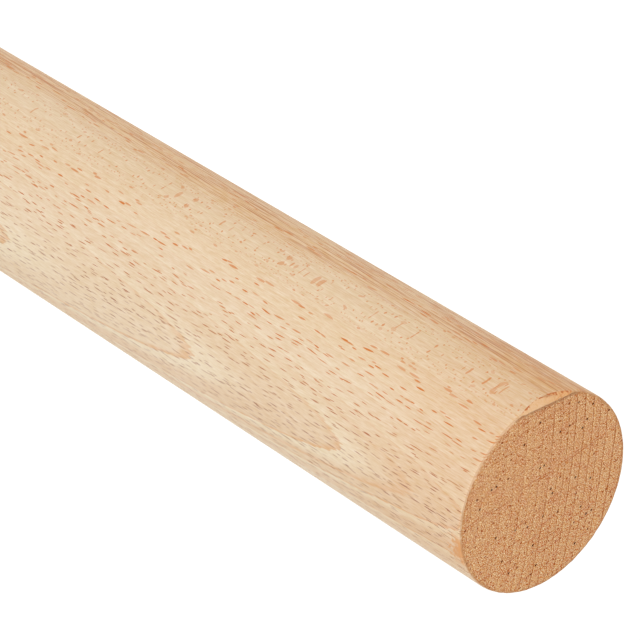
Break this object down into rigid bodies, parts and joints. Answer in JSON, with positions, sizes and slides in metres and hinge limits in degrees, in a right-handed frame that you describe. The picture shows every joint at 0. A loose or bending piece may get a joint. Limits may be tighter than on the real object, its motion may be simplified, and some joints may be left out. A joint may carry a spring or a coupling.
{
  "type": "wooden dowel rod",
  "caption": "Plain round beech dowel rod with square-sawn ends and a small sanded bevel on one edge, standing on its end.",
  "frame": {"origin": "middle of the lower end face, on the rod's axis", "axes": "+Z along the rod's axis, from the lower end to the upper end; -Y through the middle of the small bevel on the upper edge"},
  "size_m": [0.03, 0.03, 0.3],
  "materials": {
    "beech": "bare, finely sanded; darker on the end grain"
  },
  "bodies": {
    "root": {"dowel_rod": "beech"}
  },
  "joints": []
}
